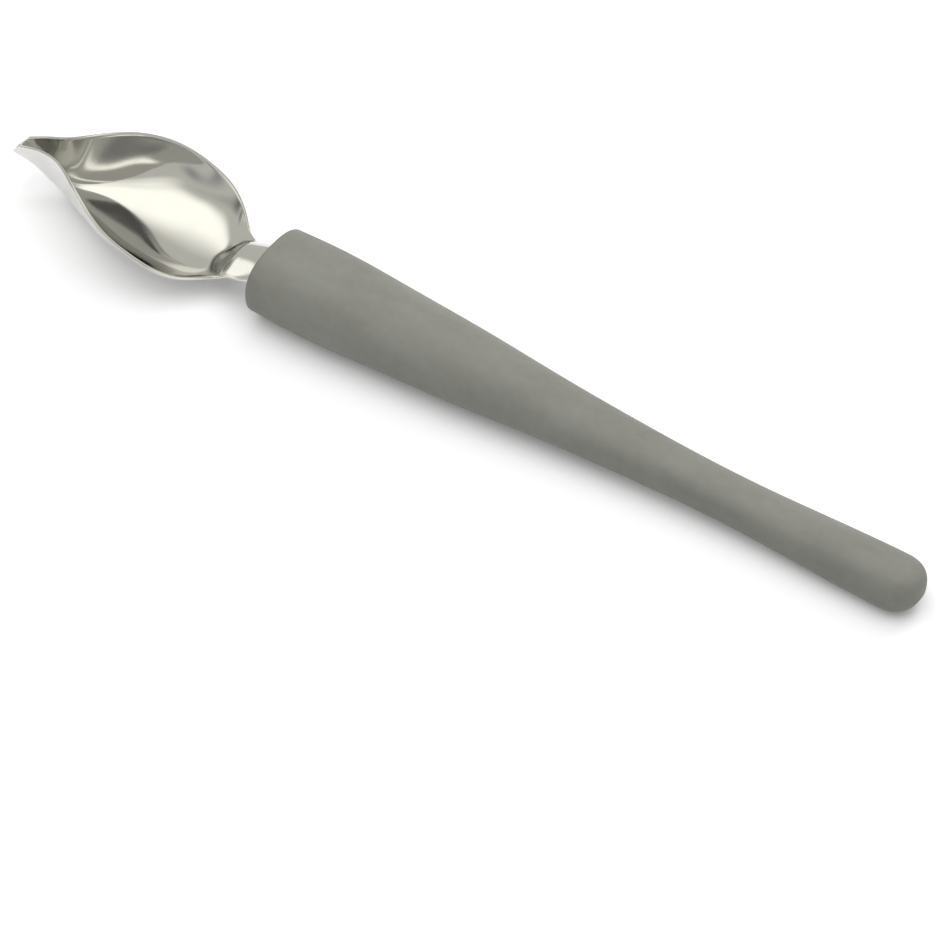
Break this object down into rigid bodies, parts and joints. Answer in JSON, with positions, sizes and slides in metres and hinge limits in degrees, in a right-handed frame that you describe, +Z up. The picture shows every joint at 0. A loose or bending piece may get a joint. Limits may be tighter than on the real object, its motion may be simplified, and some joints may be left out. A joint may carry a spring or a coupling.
{
  "type": "decorating spoon",
  "caption": "Small decorating spoon: leaf-shaped steel bowl drawn into a pouring spout, arched neck and a soft-touch handle that swells at the front and flares at the butt.",
  "frame": {"origin": "middle of the bounding box's underside, on the surface that the spoon lies on", "axes": "+X along the spoon from the spout to the butt of the handle, +Z up out of the open bowl"},
  "size_m": [0.1801, 0.026, 0.013],
  "materials": {
    "steel": "polished stainless steel sheet",
    "core": "as moulded, unseen",
    "grip": "matte soft-touch skin, warm grey"
  },
  "bodies": {
    "root": {"spoon_head": "steel", "handle_core": "core", "handle_grip": "grip"}
  },
  "joints": []
}
